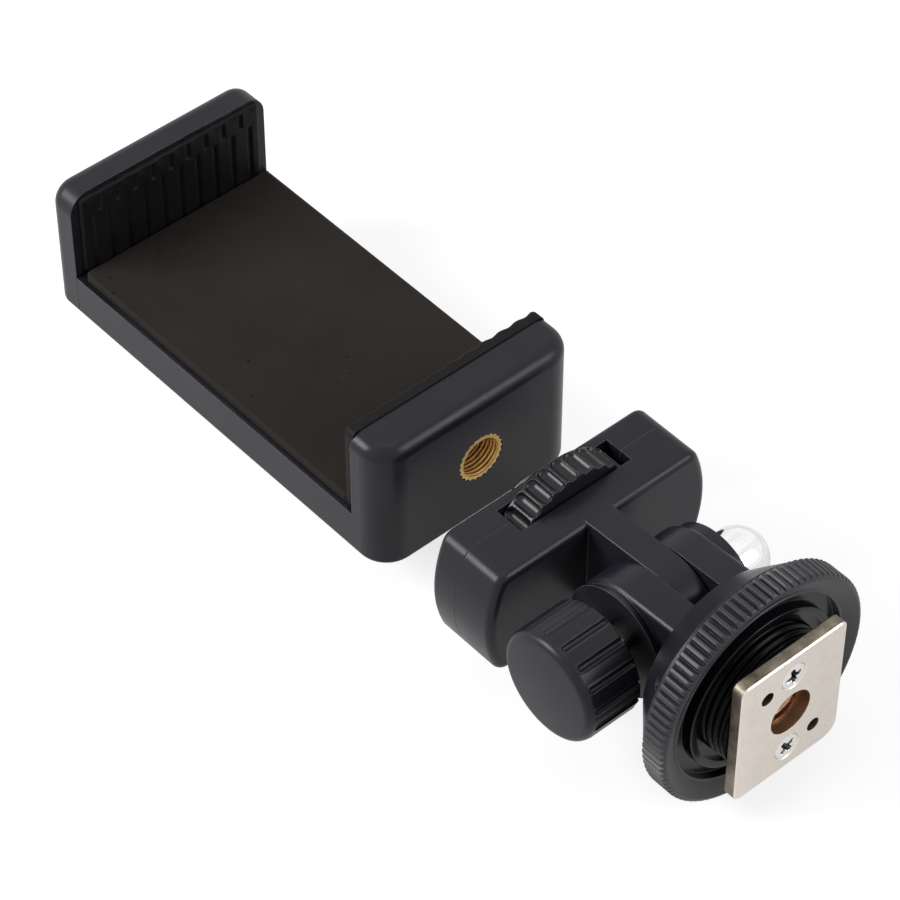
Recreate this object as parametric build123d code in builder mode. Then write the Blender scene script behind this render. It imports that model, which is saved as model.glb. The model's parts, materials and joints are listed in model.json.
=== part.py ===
"""Spring phone clamp and tilting shoe adapter, in millimetres.

X runs along the common screw axis, from the clamp to the shoe foot, and Z is up.
The origin is on that axis, at the mouth of the clamp's threaded socket.
"""

import os
from math import asin, atan2, cos, degrees, pi, radians, sin

from build123d import *

# Clamp: sizes over everything
clamp_width = 35.2
clamp_bottom = -11.1
clamp_top = 11.0
rail_top = -4.1
jaw_opening = 58.7
clamp_travel = 30.0

# Clamp: near jaw
near_shell = 6.4
near_pad = 1.9
near_corner = 4.6
jaw_rim = 2.2
foot_rim = 0.8

# Clamp: far jaw
far_shell = 4.5
far_pad = 1.2
far_pad_sunk = 0.55
far_corner = 3.4

# Clamp: channel, cover and pad
channel_wall = 5.5
floor_thickness = 1.8
cover_thickness = 1.6
cover_ledge = 2.0
back_pad_thickness = 1.3
back_pad_edge = 0.9
slide_gap = 0.05
tongue_end = -30.0
chamber_end = -9.5

# Clamp: rubber pads of the jaws
near_pad_rim = 0.5
far_pad_rim = 1.4
far_pad_drop = 0.7
pad_corner = 1.0
pad_gap = 0.05
plug_depth = 0.7
plug_inset = 3.0
pad_round = 0.5
near_groove_pitch = 3.0
near_groove_radius = 1.3
near_groove_depth = 0.25
far_groove_pitch = 3.2
far_groove_radius = 0.5
far_groove_depth = 0.4
slot_row_drop = 0.5
slot_row_height = 2.9
slot_row_gap = 0.2

# Clamp: springs and what they hook on
spring_wall = 5.1
spring_radius = 1.3
spring_wire = 0.35
hook_radius = 1.5
fixed_pin_x = -12.0
slider_pin_x = -33.0
pin_radius = 0.8
stop_radius = 1.2
stop_x = -64.0

# Screws of the covers
cover_screw_xs = (-12.0, -60.0)
screw_radius = 0.9
screw_head_radius = 1.75
screw_head_depth = 1.1
driver_width = 0.4

# 1/4 inch screw and sockets
thread_radius = 3.175
stud_radius = 3.1
insert_radius = 3.85
insert_root = 3.6
insert_teeth = 24

# Adapter: cross block
block_front_x = 12.2
block_seam_x = 16.8
block_rear_x = 23.8
block_top = 7.8
block_bottom = -10.6
block_mid_half = 19.5
block_edge_half = 17.4
block_corner = 2.2
block_front_rim = 0.9
block_rear_rim = 1.2
seam_chamfer = 0.05
slot_front_x = 14.1
slot_rear_x = 18.9
slot_half = 9.8
wheel_radius = 11.0
wheel_flutes = 36
flute_radius = 0.75
flute_depth = 0.4
flute_stop = 0.5
wheel_side_gap = 0.25
stud_reach = 3.8
stud_tip_chamfer = 0.5
neck_radius = 2.4
shank_radius = 2.8
face_pad_radius = 6.8
face_pad_proud = 0.7
face_pad_sunk = 0.5

# Adapter: tilt hinge
pivot_x = 36.1
knuckle_radius = 8.5
tongue_half = 2.35
ear_gap = 0.1
ear_outer = 7.6
ear_rise = 0.6
ear_fillet = 1.0
tongue_fillet = 0.3
bolt_radius = 2.5
running_gap = 0.06
near_boss_radius = 8.0
near_boss_rim = 9.2
near_boss_y = -10.8
strap_half = 3.9
strap_y = -8.5
far_boss_radius = 7.8
far_boss_y = 9.2
washer_thickness = 0.8
washer_radius = 6.2
knob_radius = 8.25
knob_back_y = -11.9
knob_face_y = -21.2
knob_crown = 0.4
knob_grooves = 16
knob_groove_phase = 11.5
knob_groove_width = 0.7
knob_groove_depth = 0.5
knob_groove_start = 1.5
knob_rim = 1.2
nut_radius = 4.5
nut_shoulder_y = 13.1

# Adapter: base, ring and shoe foot
base_rear_x = 45.4
base_rear_radius = 12.6
base_front_x = 50.6
base_front_radius = 17.0
base_rim = 0.3
notch_angle = 151.5
notch_radius = 15.6
notch_x = 49.3
notch_width = 1.0
boss_radius = 10.0
ring_back_x = 50.75
ring_web_x = 52.6
ring_front_x = 54.7
ring_tip_radius = 17.9
ring_root_radius = 17.3
ring_teeth = 90
ring_opening_radius = 14.5
hub_radius = 12.6
hub_front_x = 54.2
hub_step_radius = 11.4
plate_back_x = 57.4
plate_front_x = 59.4
plate_half_width = 9.25
plate_half_height = 10.9
plate_sharp_corner = 1.2
plate_round_corner = 2.6
plate_hole_radius = 3.5
plate_screw_z = 7.0
plate_screw_radius = 1.05
plate_screw_head = 2.15
plate_edge = 0.2
plate_pins = ((-4.6, 6.1), (4.6, -6.1))
bush_radius = 4.6
bush_rear_x = 47.4

# Derived positions
channel_half = clamp_width / 2 - channel_wall
cover_half = clamp_width / 2 - cover_ledge
back_pad_half = clamp_width / 2 - back_pad_edge
cover_screw_y = (channel_half + cover_half) / 2
spring_y = channel_half - spring_wall
near_inner_x = -near_shell
near_face_x = near_inner_x - near_pad
far_face_x = near_face_x - jaw_opening
far_inner_x = far_face_x - far_pad
far_outer_x = far_inner_x - far_shell
far_front_x = far_inner_x + far_pad_sunk
near_pad_half = clamp_width / 2 - near_pad_rim
far_pad_half = clamp_width / 2 - far_pad_rim
near_pad_top = clamp_top + 0.2
far_pad_top = clamp_top - far_pad_drop
far_pad_bottom = rail_top + 0.25
slot_row_bottom = far_pad_top - slot_row_drop - slot_row_height
channel_end = far_front_x + 0.1
floor_top = clamp_bottom + floor_thickness
cover_bottom = rail_top - cover_thickness
back_pad_top = rail_top + back_pad_thickness
tongue_bottom = floor_top + slide_gap
tongue_top = cover_bottom - slide_gap
tongue_floor = tongue_bottom + 0.7
spring_z = (tongue_floor + tongue_top) / 2
wheel_front_x = slot_front_x + wheel_side_gap
wheel_rear_x = slot_rear_x - wheel_side_gap
stud_tip_x = block_front_x - stud_reach
stud_base_x = block_front_x - face_pad_proud
block_middle_z = (block_top + block_bottom) / 2


def box_between(low, high, mode=Mode.ADD):
    """Adds or cuts a box given by two opposite corners."""
    size = [high[i] - low[i] for i in range(3)]
    middle = Plane((*[(low[i] + high[i]) / 2 for i in range(2)], low[2]))
    with BuildSketch(middle) as base:
        Rectangle(size[0], size[1])
    extrude(base.sketch, amount=size[2], mode=mode)


def disc_x(x_start, x_end, radius, y=0.0, z=0.0, mode=Mode.ADD):
    """Adds or cuts a cylinder along X."""
    with BuildSketch(Plane.YZ.offset(x_start)) as base:
        with Locations((y, z)):
            Circle(radius)
    extrude(base.sketch, amount=x_end - x_start, mode=mode)


def disc_y(y_start, y_end, radius, mode=Mode.ADD):
    """Adds or cuts a cylinder along Y, centred on the tilt axis."""
    start = Plane((pivot_x, y_start, 0), x_dir=(1, 0, 0), z_dir=(0, 1, 0))
    with BuildSketch(start) as base:
        Circle(radius)
    extrude(base.sketch, amount=y_end - y_start, mode=mode)


def disc_z(x, y, z_start, z_end, radius, mode=Mode.ADD):
    """Adds or cuts a cylinder along Z."""
    with BuildSketch(Plane((x, y, z_start))) as base:
        Circle(radius)
    extrude(base.sketch, amount=z_end - z_start, mode=mode)


def upright_cross(plane, depth, width, reach):
    """Cuts the cross recess of a screw head into the plane."""
    with BuildSketch(plane) as recess:
        Rectangle(reach, width)
        Rectangle(width, reach)
    extrude(recess.sketch, amount=-depth, mode=Mode.SUBTRACT)


def star_face(tip, root, teeth):
    """Draws a ring of pointed teeth in the current sketch."""
    step = pi / teeth
    points = []
    for index in range(2 * teeth):
        radius = root if index % 2 else tip
        points.append((radius * cos(index * step), radius * sin(index * step)))
    with BuildLine() as outline:
        Polyline(*points, close=True)
    make_face(outline.edges())


def jaw_pad(face_x, inward, thickness, half, bottom, top):
    """Rubber pad of a jaw: a slab with a rounded front and a locating plug."""
    back_x = face_x - inward * thickness
    middle = (bottom + top) / 2
    with BuildSketch(Plane.YZ.offset(min(face_x, back_x))) as slab:
        with Locations((0, middle)):
            RectangleRounded(2 * half, top - bottom, pad_corner)
    extrude(slab.sketch, amount=thickness)
    front = faces().filter_by(Axis.X).sort_by_distance((face_x, 0, middle))[0]
    fillet(front.edges(), pad_round)
    plug_low = min(back_x, back_x - inward * plug_depth)
    with BuildSketch(Plane.YZ.offset(plug_low)) as plug:
        with Locations((0, middle)):
            Rectangle(2 * (half - plug_inset), top - bottom - 2 * plug_inset)
    extrude(plug.sketch, amount=plug_depth)


def pad_grooves(axis_x, radius, pitch, count, low, high):
    """Cuts a row of upright grooves into the face of a jaw pad."""
    with BuildSketch(Plane.XY.offset(low)) as grooves:
        with Locations((axis_x, 0)):
            with GridLocations(1, pitch, 1, count):
                Circle(radius)
    extrude(grooves.sketch, amount=high - low, mode=Mode.SUBTRACT)


def plug_recess(face_x, inward, pad_half, bottom, top):
    """Cuts the pocket that takes the plug of a jaw pad."""
    half = pad_half - plug_inset
    low = min(face_x, face_x - inward * plug_depth)
    box_between(
        (low, -half, bottom + plug_inset),
        (low + plug_depth, half, top - plug_inset),
        Mode.SUBTRACT,
    )


def countersunk_screw(plane, radius, head_radius, head_depth, length, cross):
    """Screw whose flat head lies in the plane and whose shank runs against its normal."""
    with BuildSketch(plane) as head:
        Circle(head_radius)
    slope = degrees(atan2(head_radius - radius, head_depth))
    extrude(head.sketch, amount=-head_depth, taper=slope)
    with BuildSketch(plane.offset(-length)) as shank:
        Circle(radius)
    extrude(shank.sketch, amount=length)
    upright_cross(plane, head_depth * 0.8, driver_width, cross)


def countersunk_hole(plane, radius, head_radius, head_depth, length):
    """Hole for a countersunk screw."""
    with BuildSketch(plane) as head:
        Circle(head_radius)
    slope = degrees(atan2(head_radius - radius, head_depth))
    extrude(head.sketch, amount=-head_depth, taper=slope, mode=Mode.SUBTRACT)
    with BuildSketch(plane.offset(-length)) as shank:
        Circle(radius)
    extrude(shank.sketch, amount=length, mode=Mode.SUBTRACT)


cover_screw_planes = []
for screw_x in cover_screw_xs:
    for screw_y in (-cover_screw_y, cover_screw_y):
        cover_screw_planes.append(Plane((screw_x, screw_y, clamp_bottom), z_dir=(0, 0, -1)))
cover_screw_length = rail_top - clamp_bottom - 0.4
cover_boss_radius = 1.45
cover_boss_depth = 1.5

# Clamp body: near jaw and channel in one moulding
with BuildPart() as clamp_body:
    with BuildSketch(Plane.XY.offset(clamp_bottom)):
        with Locations((near_inner_x / 2, 0)):
            Rectangle(near_shell, clamp_width)
        fillet(vertices().group_by(Axis.X)[-1], near_corner)
    extrude(amount=clamp_top - clamp_bottom)
    top_rim = faces().sort_by(Axis.Z)[-1].edges()
    fillet(top_rim.sort_by(Axis.X)[1:], jaw_rim)
    box_between(
        (channel_end, -clamp_width / 2, clamp_bottom),
        (near_inner_x, clamp_width / 2, rail_top),
    )
    long_edges = edges().filter_by(Axis.X).group_by(Axis.Z)[0]
    fillet(long_edges, foot_rim)
    box_between(
        (channel_end, -channel_half, floor_top),
        (chamber_end, channel_half, rail_top),
        Mode.SUBTRACT,
    )
    box_between(
        (channel_end, -cover_half, cover_bottom),
        (near_inner_x, cover_half, rail_top),
        Mode.SUBTRACT,
    )
    plug_recess(near_inner_x, -1, near_pad_half, rail_top, near_pad_top)
    disc_x(-near_shell + plug_depth, 0, insert_radius + 0.01, mode=Mode.SUBTRACT)
    for pin_y in (-spring_y, spring_y):
        disc_z(fixed_pin_x, pin_y, floor_top - 1.0, floor_top, pin_radius, Mode.SUBTRACT)
    disc_z(stop_x, 0, floor_top - 0.2, tongue_top, stop_radius)
    for plane in cover_screw_planes:
        countersunk_hole(
            plane, screw_radius, screw_head_radius, screw_head_depth, cover_screw_length
        )
        disc_z(
            plane.origin.X,
            plane.origin.Y,
            cover_bottom - cover_boss_depth,
            cover_bottom,
            cover_boss_radius,
            Mode.SUBTRACT,
        )

# Cover of the channel
with BuildPart() as back_plate:
    box_between(
        (channel_end, -cover_half, cover_bottom), (near_inner_x, cover_half, rail_top)
    )
    for plane in cover_screw_planes:
        disc_z(
            plane.origin.X,
            plane.origin.Y,
            cover_bottom - cover_boss_depth,
            cover_bottom,
            cover_boss_radius,
        )
        countersunk_hole(
            plane, screw_radius, screw_head_radius, screw_head_depth, cover_screw_length
        )

with BuildPart() as back_pad:
    box_between(
        (far_face_x + 0.3, -back_pad_half, rail_top),
        (near_face_x, back_pad_half, back_pad_top),
    )

with BuildPart() as fixed_jaw_pad:
    jaw_pad(near_face_x, -1, near_pad, near_pad_half, rail_top, near_pad_top)
    near_grooves = int(2 * (near_pad_half - pad_corner) / near_groove_pitch) + 1
    near_groove_x = near_face_x + near_groove_depth - near_groove_radius
    pad_grooves(
        near_groove_x,
        near_groove_radius,
        near_groove_pitch,
        near_grooves,
        back_pad_top,
        near_pad_top,
    )

# Pad of the far jaw: a row of short slots over longer ones, half a pitch apart
with BuildPart() as sliding_jaw_pad:
    jaw_pad(far_face_x, 1, far_pad, far_pad_half, far_pad_bottom, far_pad_top)
    far_grooves = int(2 * (far_pad_half - pad_corner) / far_groove_pitch) + 1
    far_groove_x = far_face_x - far_groove_depth + far_groove_radius
    for row_count, row_low, row_high in (
        (far_grooves, far_pad_bottom, slot_row_bottom - slot_row_gap),
        (far_grooves - 1, slot_row_bottom, far_pad_top - slot_row_drop),
    ):
        pad_grooves(
            far_groove_x, far_groove_radius, far_groove_pitch, row_count, row_low, row_high
        )

# Slider: far jaw with the tongue that runs in the channel
with BuildPart() as clamp_slider:
    with BuildSketch(Plane.YZ.offset(far_outer_x)):
        with Locations((0, (clamp_bottom + clamp_top) / 2)):
            Rectangle(clamp_width, clamp_top - clamp_bottom)
        fillet(vertices().group_by(Axis.Y)[-1], far_corner)
        fillet(vertices().group_by(Axis.Y)[0], foot_rim)
    extrude(amount=far_front_x - far_outer_x)
    fillet(faces().sort_by(Axis.X)[0].edges(), jaw_rim)
    with BuildSketch(Plane.YZ.offset(far_inner_x)) as pad_recess:
        with Locations((0, (far_pad_bottom + far_pad_top) / 2)):
            RectangleRounded(
                2 * (far_pad_half + pad_gap),
                far_pad_top - far_pad_bottom + 2 * pad_gap,
                pad_corner + pad_gap,
            )
    extrude(pad_recess.sketch, amount=far_pad_sunk + 1, mode=Mode.SUBTRACT)
    plug_recess(far_inner_x, 1, far_pad_half, far_pad_bottom, far_pad_top)
    box_between(
        (far_inner_x - 0.5, slide_gap - channel_half, tongue_bottom),
        (tongue_end, channel_half - slide_gap, tongue_top),
    )
    box_between(
        (stop_x - stop_radius - 0.1, -stop_radius - 0.1, tongue_bottom - 1),
        (stop_x + clamp_travel + stop_radius + 0.1, stop_radius + 0.1, tongue_top + 1),
        Mode.SUBTRACT,
    )
    for pin_y in (-spring_y, spring_y):
        box_between(
            (slider_pin_x - 2.2, pin_y - 2.2, tongue_floor),
            (tongue_end, pin_y + 2.2, tongue_top + 1),
            Mode.SUBTRACT,
        )
        disc_z(
            slider_pin_x, pin_y, tongue_bottom + 0.1, tongue_floor, pin_radius, Mode.SUBTRACT
        )

# Tension springs with a hook loop at each end
with BuildPart() as clamp_springs:
    for pin_y in (-spring_y, spring_y):
        coil_start = slider_pin_x + hook_radius + 0.6
        coil_end = fixed_pin_x - hook_radius - 0.6
        disc_x(coil_start, coil_end, spring_radius, pin_y, spring_z)
        disc_x(
            coil_start, coil_end, spring_radius - 2 * spring_wire, pin_y, spring_z, Mode.SUBTRACT
        )
        for hook_x, toward in ((slider_pin_x, 1), (fixed_pin_x, -1)):
            with BuildSketch(Plane((hook_x, pin_y, spring_z - spring_wire))):
                Circle(hook_radius)
                with Locations((toward * (hook_radius + 0.4), 0)):
                    Rectangle(1.2, 2.2)
                Circle(pin_radius + 0.1, mode=Mode.SUBTRACT)
            extrude(amount=2 * spring_wire)

with BuildPart() as fixed_spring_pins:
    for pin_y in (-spring_y, spring_y):
        disc_z(fixed_pin_x, pin_y, floor_top - 1.0, tongue_top, pin_radius)

with BuildPart() as slider_spring_pins:
    for pin_y in (-spring_y, spring_y):
        disc_z(slider_pin_x, pin_y, tongue_bottom + 0.1, tongue_top, pin_radius)

# Brass socket of the clamp
with BuildPart() as clamp_insert:
    with BuildSketch(Plane.YZ.offset(-near_shell + plug_depth)):
        star_face(insert_radius, insert_root, insert_teeth)
        Circle(thread_radius, mode=Mode.SUBTRACT)
    extrude(amount=near_shell - plug_depth)

with BuildPart() as cover_screws:
    for plane in cover_screw_planes:
        countersunk_screw(
            plane,
            screw_radius,
            screw_head_radius,
            screw_head_depth,
            cover_screw_length,
            2.0,
        )


def draw_block_outline():
    """Outline of the cross block seen along X, with bulging ends."""
    with BuildLine() as outline:
        Line((-block_edge_half, block_top), (block_edge_half, block_top))
        ThreePointArc(
            (block_edge_half, block_top),
            (block_mid_half, block_middle_z),
            (block_edge_half, block_bottom),
        )
        Line((block_edge_half, block_bottom), (-block_edge_half, block_bottom))
        ThreePointArc(
            (-block_edge_half, block_bottom),
            (-block_mid_half, block_middle_z),
            (-block_edge_half, block_top),
        )
    make_face(outline.edges())
    fillet(vertices(), block_corner)


def cut_wheel_room():
    """Cuts the round pocket of the thumbwheel and its two slots."""
    disc_x(slot_front_x, slot_rear_x, wheel_radius + 0.3, mode=Mode.SUBTRACT)
    box_between(
        (slot_front_x, -slot_half, block_bottom - 1),
        (slot_rear_x, slot_half, block_top + 1),
        Mode.SUBTRACT,
    )
    disc_x(stud_tip_x, slot_front_x, stud_radius + running_gap, mode=Mode.SUBTRACT)
    disc_x(slot_rear_x, wheel_rear_x + 2.4, shank_radius + running_gap, mode=Mode.SUBTRACT)


block_screw_y = 14.2
block_screw_planes = [
    Plane((block_front_x, y, block_middle_z), x_dir=(0, 1, 0), z_dir=(-1, 0, 0))
    for y in (-block_screw_y, block_screw_y)
]
block_screw_radius = 1.1
block_screw_head = 2.1
block_screw_depth = 1.3
block_screw_length = 9.5

with BuildPart() as block_front:
    with BuildSketch(Plane.YZ.offset(block_front_x)):
        draw_block_outline()
    extrude(amount=block_seam_x - block_front_x)
    fillet(faces().sort_by(Axis.X)[0].edges(), block_front_rim)
    chamfer(faces().sort_by(Axis.X)[-1].edges(), seam_chamfer)
    cut_wheel_room()
    disc_x(
        block_front_x, block_front_x + face_pad_sunk, face_pad_radius + 0.05, mode=Mode.SUBTRACT
    )
    for plane in block_screw_planes:
        countersunk_hole(
            plane, block_screw_radius, block_screw_head, block_screw_depth, block_screw_length
        )

# Tongue and knuckle of the rear shell, with softened edges
with BuildPart() as knuckle_tongue:
    tongue_start = block_rear_x - block_rear_rim
    with BuildSketch(Plane.XZ.offset(-tongue_half)):
        with BuildLine():
            Polyline(
                (tongue_start, block_top),
                (pivot_x, knuckle_radius),
                (pivot_x, -knuckle_radius),
                (tongue_start, -block_top),
                close=True,
            )
        make_face()
        with Locations((pivot_x, 0)):
            Circle(knuckle_radius)
    extrude(amount=2 * tongue_half)
    for side in (-tongue_half, tongue_half):
        rim = edges().filter_by_position(Axis.Y, side, side)
        fillet(rim, tongue_fillet)

with BuildPart() as block_rear:
    with BuildSketch(Plane.YZ.offset(block_seam_x)):
        draw_block_outline()
    extrude(amount=block_rear_x - block_seam_x)
    fillet(faces().sort_by(Axis.X)[-1].edges(), block_rear_rim)
    chamfer(faces().sort_by(Axis.X)[0].edges(), seam_chamfer)
    add(knuckle_tongue.part)
    cut_wheel_room()
    disc_y(-tongue_half - 1, tongue_half + 1, bolt_radius + running_gap, Mode.SUBTRACT)
    for plane in block_screw_planes:
        countersunk_hole(
            plane, block_screw_radius, block_screw_head, block_screw_depth, block_screw_length
        )

with BuildPart() as block_screws:
    for plane in block_screw_planes:
        countersunk_screw(
            plane, block_screw_radius, block_screw_head, block_screw_depth, block_screw_length, 2.4
        )

with BuildPart() as face_pad:
    pad_back_x = block_front_x + face_pad_sunk
    pad_front_x = block_front_x - face_pad_proud
    disc_x(pad_front_x, pad_back_x, face_pad_radius)
    disc_x(pad_front_x, pad_back_x, stud_radius + 0.9, mode=Mode.SUBTRACT)

# Cutter of the wheel's flutes: a rod with a round end
with BuildPart() as flute_cutter:
    flute_length = wheel_rear_x - wheel_front_x - flute_stop
    with BuildSketch(Plane.XZ):
        with BuildLine():
            Polyline(
                (0, flute_length),
                (0, -1),
                (flute_radius, -1),
                (flute_radius, flute_length - flute_radius),
            )
            RadiusArc(
                (0, flute_length), (flute_radius, flute_length - flute_radius), flute_radius
            )
        make_face()
    revolve(axis=Axis.Z)

# Thumbwheel with flutes that stop short of its rear face, pressed on its screw
with BuildPart() as thumbwheel:
    disc_x(wheel_front_x, wheel_rear_x, wheel_radius)
    with Locations(Plane.YZ.offset(wheel_front_x)):
        with PolarLocations(wheel_radius + flute_radius - flute_depth, wheel_flutes):
            add(flute_cutter.part, mode=Mode.SUBTRACT)
    disc_x(wheel_front_x - 1, wheel_rear_x + 1, shank_radius, mode=Mode.SUBTRACT)

# 1/4 inch stud with the neck that keeps it in the block
with BuildPart() as thumb_screw:
    disc_x(stud_tip_x, stud_base_x, stud_radius)
    chamfer(faces().sort_by(Axis.X)[0].edges(), stud_tip_chamfer)
    disc_x(stud_base_x, wheel_front_x, neck_radius)
    disc_x(wheel_front_x, wheel_rear_x + 2.2, shank_radius)

# Base with two ears, flared disc and threaded boss
with BuildPart() as fork_base:
    with BuildSketch(Plane.XZ):
        with BuildLine():
            Polyline(
                (base_rear_x, 0),
                (base_rear_x, base_rear_radius),
                (base_front_x - 0.5, base_front_radius),
                (base_front_x, base_front_radius),
                (base_front_x, boss_radius),
                (plate_back_x, boss_radius),
                (plate_back_x, 0),
                close=True,
            )
        make_face()
        fillet(vertices().sort_by_distance((base_rear_x, base_rear_radius))[0], base_rim)
    revolve(axis=Axis.X)
    for side in (-1, 1):
        ear_start = min(side * (tongue_half + ear_gap), side * ear_outer)
        with BuildSketch(Plane.XZ.offset(-ear_start)):
            with BuildLine():
                Polyline(
                    (pivot_x, knuckle_radius),
                    (base_rear_x + 1.0, knuckle_radius + ear_rise),
                    (base_rear_x + 1.0, -knuckle_radius - ear_rise),
                    (pivot_x, -knuckle_radius),
                    close=True,
                )
            make_face()
            with Locations((pivot_x, 0)):
                Circle(knuckle_radius)
        extrude(amount=-(ear_outer - tongue_half - ear_gap))
        rim = edges().filter_by_position(Axis.Y, side * ear_outer - 0.01, side * ear_outer + 0.01)
        fillet(rim, ear_fillet)
    flare = atan2(near_boss_rim - near_boss_radius, -ear_outer - near_boss_y)
    with BuildSketch(
        Plane((pivot_x, near_boss_y, 0), x_dir=(1, 0, 0), z_dir=(0, 1, 0))
    ) as near_boss:
        Circle(near_boss_rim)
    extrude(near_boss.sketch, amount=ear_fillet - ear_outer - near_boss_y, taper=degrees(flare))
    disc_y(ear_outer - ear_fillet, far_boss_y, far_boss_radius)
    box_between((pivot_x, strap_y, -strap_half), (base_rear_x + 1.0, -ear_outer, strap_half))
    disc_y(near_boss_y - 1, far_boss_y + 1, bolt_radius + 0.01, Mode.SUBTRACT)
    notch_y = notch_radius * cos(radians(notch_angle))
    notch_z = notch_radius * sin(radians(notch_angle))
    notch_plane = Plane((notch_x, notch_y, notch_z), x_dir=(1, 0, 0), z_dir=(0, notch_y, notch_z))
    with BuildSketch(notch_plane):
        Rectangle(1.2 * notch_width, notch_width)
    extrude(amount=2 * notch_width, mode=Mode.SUBTRACT)
    disc_x(bush_rear_x, plate_back_x + 1, bush_radius, mode=Mode.SUBTRACT)
    for screw_z in (-plate_screw_z, plate_screw_z):
        disc_x(
            plate_back_x - 7.0,
            plate_back_x + 1,
            plate_screw_radius,
            z=screw_z,
            mode=Mode.SUBTRACT,
        )

# Cross bolt, its cap nut and washers
with BuildPart() as pivot_bolt:
    disc_y(knob_back_y - 6.0, nut_shoulder_y, bolt_radius)

with BuildPart() as nut_washer:
    disc_y(far_boss_y, far_boss_y + washer_thickness, nut_radius + 0.6)
    disc_y(far_boss_y - 1, far_boss_y + 3, bolt_radius, Mode.SUBTRACT)

with BuildPart() as dome_nut:
    with BuildSketch(Plane((pivot_x, 0, 0), x_dir=(0, 1, 0), z_dir=(0, 0, 1))):
        with BuildLine():
            nut_base_y = far_boss_y + washer_thickness
            dome_cos = nut_radius * cos(pi / 4)
            Polyline(
                (nut_shoulder_y + nut_radius, 0), (nut_base_y, 0), (nut_base_y, nut_radius)
            )
            Line((nut_base_y, nut_radius), (nut_shoulder_y, nut_radius))
            ThreePointArc(
                (nut_shoulder_y, nut_radius),
                (nut_shoulder_y + dome_cos, dome_cos),
                (nut_shoulder_y + nut_radius, 0),
            )
        make_face()
    revolve(axis=Axis((pivot_x, 0, 0), (0, 1, 0)))
    disc_y(far_boss_y - 1, nut_shoulder_y, bolt_radius, Mode.SUBTRACT)

with BuildPart() as knob_washer:
    disc_y(near_boss_y - washer_thickness, near_boss_y, washer_radius)
    disc_y(near_boss_y - 2, near_boss_y + 1, bolt_radius, Mode.SUBTRACT)

# Tilt knob with its nut insert
knob_insert_radius = 4.4
knob_insert_depth = 6.5
with BuildPart() as knob:
    knob_edge_y = knob_face_y + knob_crown
    crown_radius = (knob_radius**2 + knob_crown**2) / (2 * knob_crown)
    crown_turn = asin(knob_radius / crown_radius)
    with BuildSketch(Plane((pivot_x, 0, 0), x_dir=(0, 1, 0), z_dir=(0, 0, 1))):
        with BuildLine():
            Polyline((knob_face_y, 0), (knob_back_y, 0), (knob_back_y, knob_radius))
            Line((knob_back_y, knob_radius), (knob_edge_y, knob_radius))
            ThreePointArc(
                (knob_edge_y, knob_radius),
                (knob_face_y + crown_radius * (1 - cos(crown_turn / 2)), crown_radius * sin(crown_turn / 2)),
                (knob_face_y, 0),
            )
        make_face()
        fillet(vertices().sort_by_distance((knob_edge_y, knob_radius))[0], knob_rim)
    revolve(axis=Axis((pivot_x, 0, 0), (0, 1, 0)))
    groove_length = knob_back_y - knob_face_y - knob_groove_start
    for index in range(knob_grooves):
        angle = radians(knob_groove_phase + index * 360 / knob_grooves)
        floor_radius = knob_radius - knob_groove_depth
        groove_plane = Plane(
            (pivot_x + floor_radius * cos(angle), knob_back_y, floor_radius * sin(angle)),
            x_dir=(0, 1, 0),
            z_dir=(cos(angle), 0, sin(angle)),
        )
        with BuildSketch(groove_plane):
            SlotOverall(2 * groove_length, knob_groove_width)
        extrude(amount=2 * knob_groove_depth, mode=Mode.SUBTRACT)
    disc_y(knob_back_y - knob_insert_depth, knob_back_y + 1, knob_insert_radius, Mode.SUBTRACT)

with BuildPart() as knob_insert:
    disc_y(knob_back_y - knob_insert_depth, knob_back_y, knob_insert_radius)
    disc_y(
        knob_back_y - knob_insert_depth,
        knob_back_y + 1,
        bolt_radius + running_gap,
        Mode.SUBTRACT,
    )

# Knurled lock ring
with BuildPart() as lock_ring:
    with BuildSketch(Plane.YZ.offset(ring_back_x)):
        star_face(ring_tip_radius, ring_root_radius, ring_teeth)
    extrude(amount=ring_front_x - ring_back_x)
    chamfer(faces().sort_by(Axis.X)[-1].edges(), 0.5)
    disc_x(ring_web_x, ring_front_x + 1, ring_opening_radius, mode=Mode.SUBTRACT)
    disc_x(ring_web_x - 0.1, hub_front_x, hub_radius)
    disc_x(hub_front_x - 0.7, hub_front_x + 1, hub_step_radius, mode=Mode.SUBTRACT)
    disc_x(ring_back_x - 1, ring_front_x + 1, boss_radius + running_gap, mode=Mode.SUBTRACT)

plate_screw_planes = [
    Plane((plate_front_x, 0, z), x_dir=(0, 1, 0), z_dir=(1, 0, 0))
    for z in (-plate_screw_z, plate_screw_z)
]
plate_screw_depth = 1.2
plate_screw_length = 8.5

with BuildPart() as shoe_plate:
    with BuildSketch(Plane.YZ.offset(plate_back_x)):
        Rectangle(2 * plate_half_width, 2 * plate_half_height)
        low_corner = vertices().group_by(Axis.Y)[0].sort_by(Axis.X)[-1]
        fillet(low_corner, plate_round_corner)
        fillet(vertices().group_by(Axis.Y)[-1], plate_sharp_corner)
        last_corner = vertices().sort_by_distance((-plate_half_width, -plate_half_height))[0]
        fillet(last_corner, plate_sharp_corner)
        Circle(plate_hole_radius, mode=Mode.SUBTRACT)
        with Locations(*plate_pins):
            Circle(1.05, mode=Mode.SUBTRACT)
    extrude(amount=plate_front_x - plate_back_x)
    for side in (0, -1):
        chamfer(faces().sort_by(Axis.X)[side].outer_wire().edges(), plate_edge)
    for plane in plate_screw_planes:
        countersunk_hole(
            plane, plate_screw_radius, plate_screw_head, plate_screw_depth, plate_screw_length
        )

with BuildPart() as shoe_screws:
    for plane in plate_screw_planes:
        countersunk_screw(
            plane, plate_screw_radius, plate_screw_head, plate_screw_depth, plate_screw_length, 2.5
        )

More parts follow.
